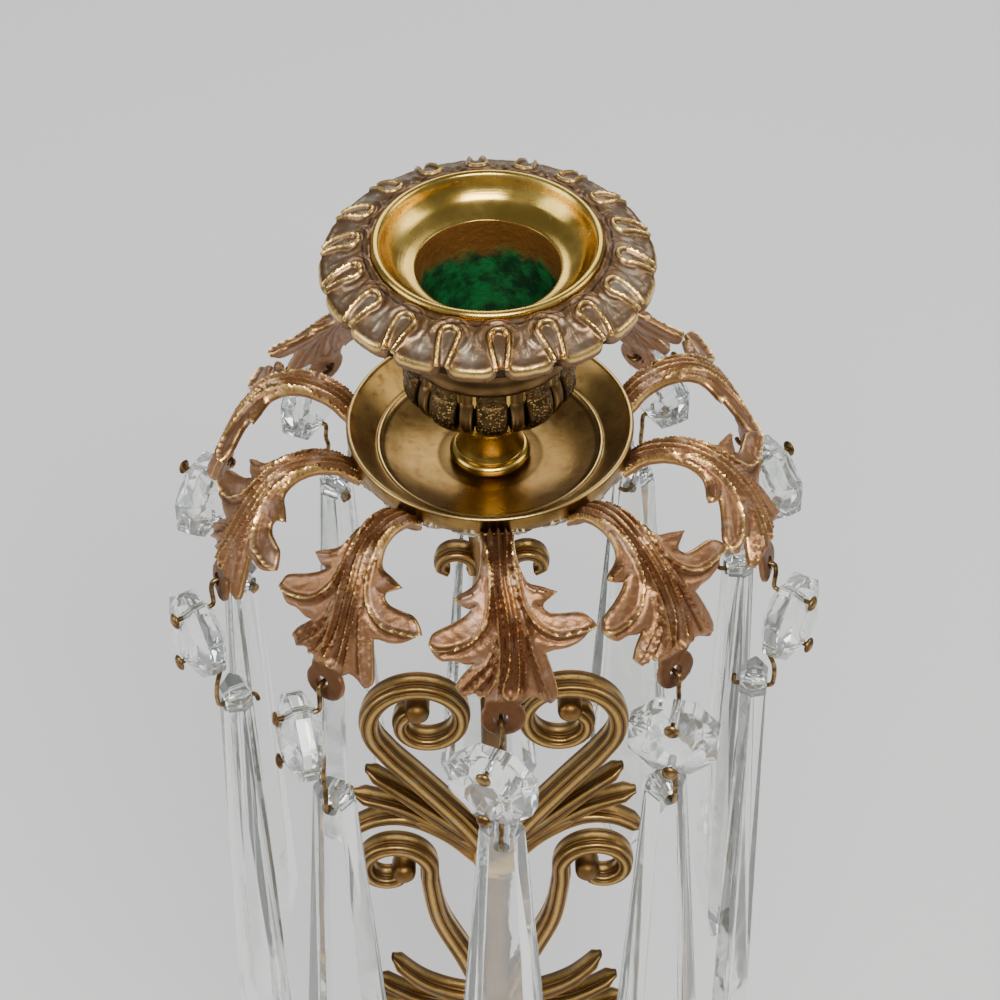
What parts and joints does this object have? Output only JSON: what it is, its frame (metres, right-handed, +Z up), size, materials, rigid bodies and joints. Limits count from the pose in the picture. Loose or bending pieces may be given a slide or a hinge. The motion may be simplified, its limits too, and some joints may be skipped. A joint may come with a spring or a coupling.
{
  "type": "girandole candlestick",
  "caption": "Brass girandole candlestick on a stepped marble base: candle socket, drip pan and a ring of cast leaves hung with glass buttons and long cut prisms.",
  "frame": {"origin": "centre of the base's underside, on the table", "axes": "+Z up through the candle bore, -Y towards the front"},
  "size_m": [0.13, 0.114, 0.33],
  "materials": {
    "bright_brass": "polished, olive-gold, lightly worn",
    "collar_bronze": "brown patina with worn gold ridges",
    "pan_brass": "satin, brown-gold patina",
    "leaf_copper": "rough cast, pinkish copper-brown with gold rubbed edges",
    "stem_bronze": "cast, brown-gold patina",
    "pin_wire": "dark drawn wire",
    "cut_glass": "clear cut glass",
    "marble": "honed white marble with grey veins",
    "steel": "dull steel"
  },
  "bodies": {
    "stand": {"marble_lower_step": "marble", "marble_upper_step": "marble", "cast_foot": "stem_bronze", "tie_rod": "steel", "base_washer": "steel", "base_nut": "steel", "scroll_stem": "stem_bronze", "pan_boss": "stem_bronze", "drip_pan": "pan_brass", "socket_foot": "bright_brass", "gadrooned_cup": "collar_bronze", "scalloped_collar": "collar_bronze", "candle_nozzle": "bright_brass", "centre_screw": "steel", "acanthus_leaf_01": "leaf_copper", "acanthus_leaf_02": "leaf_copper", "acanthus_leaf_03": "leaf_copper", "acanthus_leaf_04": "leaf_copper", "acanthus_leaf_05": "leaf_copper", "acanthus_leaf_06": "leaf_copper", "acanthus_leaf_07": "leaf_copper", "acanthus_leaf_08": "leaf_copper", "acanthus_leaf_09": "leaf_copper", "acanthus_leaf_10": "leaf_copper"},
    "button_01": {"wire_pins_01": "pin_wire", "glass_button_01": "cut_glass"},
    "prism_01": {"glass_prism_01": "cut_glass"},
    "button_02": {"wire_pins_02": "pin_wire", "glass_button_02": "cut_glass"},
    "prism_02": {"glass_prism_02": "cut_glass"},
    "button_03": {"wire_pins_03": "pin_wire", "glass_button_03": "cut_glass"},
    "prism_03": {"glass_prism_03": "cut_glass"},
    "button_04": {"wire_pins_04": "pin_wire", "glass_button_04": "cut_glass"},
    "prism_04": {"glass_prism_04": "cut_glass"},
    "button_05": {"wire_pins_05": "pin_wire", "glass_button_05": "cut_glass"},
    "prism_05": {"glass_prism_05": "cut_glass"},
    "button_06": {"wire_pins_06": "pin_wire", "glass_button_06": "cut_glass"},
    "prism_06": {"glass_prism_06": "cut_glass"},
    "button_07": {"wire_pins_07": "pin_wire", "glass_button_07": "cut_glass"},
    "prism_07": {"glass_prism_07": "cut_glass"},
    "button_08": {"wire_pins_08": "pin_wire", "glass_button_08": "cut_glass"},
    "prism_08": {"glass_prism_08": "cut_glass"},
    "button_09": {"wire_pins_09": "pin_wire", "glass_button_09": "cut_glass"},
    "prism_09": {"glass_prism_09": "cut_glass"},
    "button_10": {"wire_pins_10": "pin_wire", "glass_button_10": "cut_glass"},
    "prism_10": {"glass_prism_10": "cut_glass"}
  },
  "joints": [
    {"name": "button_swing_01", "type": "hinge", "parent": "stand", "child": "button_01", "pos_m": [0.00111, -0.04529, 0.2745], "axis": [-0.9997, -0.0244, 0], "range_deg": [-3, 35]},
    {"name": "prism_swing_01", "type": "hinge", "parent": "button_01", "child": "prism_01", "pos_m": [0.00109, -0.04469, 0.24625], "axis": [-0.9968, 0.0802, 0], "range_deg": [-3, 20]},
    {"name": "button_swing_02", "type": "hinge", "parent": "stand", "child": "button_02", "pos_m": [0.02751, -0.03599, 0.2745], "axis": [-0.7944, -0.6074, 0], "range_deg": [-3, 35]},
    {"name": "prism_swing_02", "type": "hinge", "parent": "button_02", "child": "prism_02", "pos_m": [0.02715, -0.03551, 0.24625], "axis": [-0.9178, -0.3971, 0], "range_deg": [-3, 20]},
    {"name": "button_swing_03", "type": "hinge", "parent": "stand", "child": "button_03", "pos_m": [0.04341, -0.01294, 0.2745], "axis": [-0.2857, -0.9583, 0], "range_deg": [-3, 35]},
    {"name": "prism_swing_03", "type": "hinge", "parent": "button_03", "child": "prism_03", "pos_m": [0.04284, -0.01277, 0.24625], "axis": [-0.1495, -0.9888, 0], "range_deg": [-3, 20]},
    {"name": "button_swing_04", "type": "hinge", "parent": "stand", "child": "button_04", "pos_m": [0.04273, 0.01505, 0.2745], "axis": [0.3322, -0.9432, 0], "range_deg": [-3, 35]},
    {"name": "prism_swing_04", "type": "hinge", "parent": "button_04", "child": "prism_04", "pos_m": [0.04216, 0.01485, 0.24625], "axis": [0.1977, -0.9803, 0], "range_deg": [-3, 20]},
    {"name": "button_swing_05", "type": "hinge", "parent": "stand", "child": "button_05", "pos_m": [0.02572, 0.03729, 0.2745], "axis": [0.8231, -0.5678, 0], "range_deg": [-3, 35]},
    {"name": "prism_swing_05", "type": "hinge", "parent": "button_05", "child": "prism_05", "pos_m": [0.02538, 0.03679, 0.24625], "axis": [0.9092, -0.4163, 0], "range_deg": [-3, 20]},
    {"name": "button_swing_06", "type": "hinge", "parent": "stand", "child": "button_06", "pos_m": [-0.00111, 0.04529, 0.2745], "axis": [0.9997, 0.0244, 0], "range_deg": [-3, 35]},
    {"name": "prism_swing_06", "type": "hinge", "parent": "button_06", "child": "prism_06", "pos_m": [-0.00109, 0.04469, 0.24625], "axis": [0.999, -0.0454, 0], "range_deg": [-3, 20]},
    {"name": "button_swing_07", "type": "hinge", "parent": "stand", "child": "button_07", "pos_m": [-0.02751, 0.03599, 0.2745], "axis": [0.7944, 0.6074, 0], "range_deg": [-3, 35]},
    {"name": "prism_swing_07", "type": "hinge", "parent": "button_07", "child": "prism_07", "pos_m": [-0.02715, 0.03551, 0.24625], "axis": [0.6896, 0.7242, 0], "range_deg": [-3, 20]},
    {"name": "button_swing_08", "type": "hinge", "parent": "stand", "child": "button_08", "pos_m": [-0.04341, 0.01294, 0.2745], "axis": [0.2857, 0.9583, 0], "range_deg": [-3, 35]},
    {"name": "prism_swing_08", "type": "hinge", "parent": "button_08", "child": "prism_08", "pos_m": [-0.04284, 0.01277, 0.24625], "axis": [0.4478, 0.8942, 0], "range_deg": [-3, 20]},
    {"name": "button_swing_09", "type": "hinge", "parent": "stand", "child": "button_09", "pos_m": [-0.04273, -0.01505, 0.2745], "axis": [-0.3322, 0.9432, 0], "range_deg": [-3, 35]},
    {"name": "prism_swing_09", "type": "hinge", "parent": "button_09", "child": "prism_09", "pos_m": [-0.04216, -0.01485, 0.24625], "axis": [-0.4289, 0.9033, 0], "range_deg": [-3, 20]},
    {"name": "button_swing_10", "type": "hinge", "parent": "stand", "child": "button_10", "pos_m": [-0.02572, -0.03729, 0.2745], "axis": [-0.8231, 0.5678, 0], "range_deg": [-3, 35]},
    {"name": "prism_swing_10", "type": "hinge", "parent": "button_10", "child": "prism_10", "pos_m": [-0.02538, -0.03679, 0.24625], "axis": [-0.9232, 0.3843, 0], "range_deg": [-3, 20]}
  ]
}
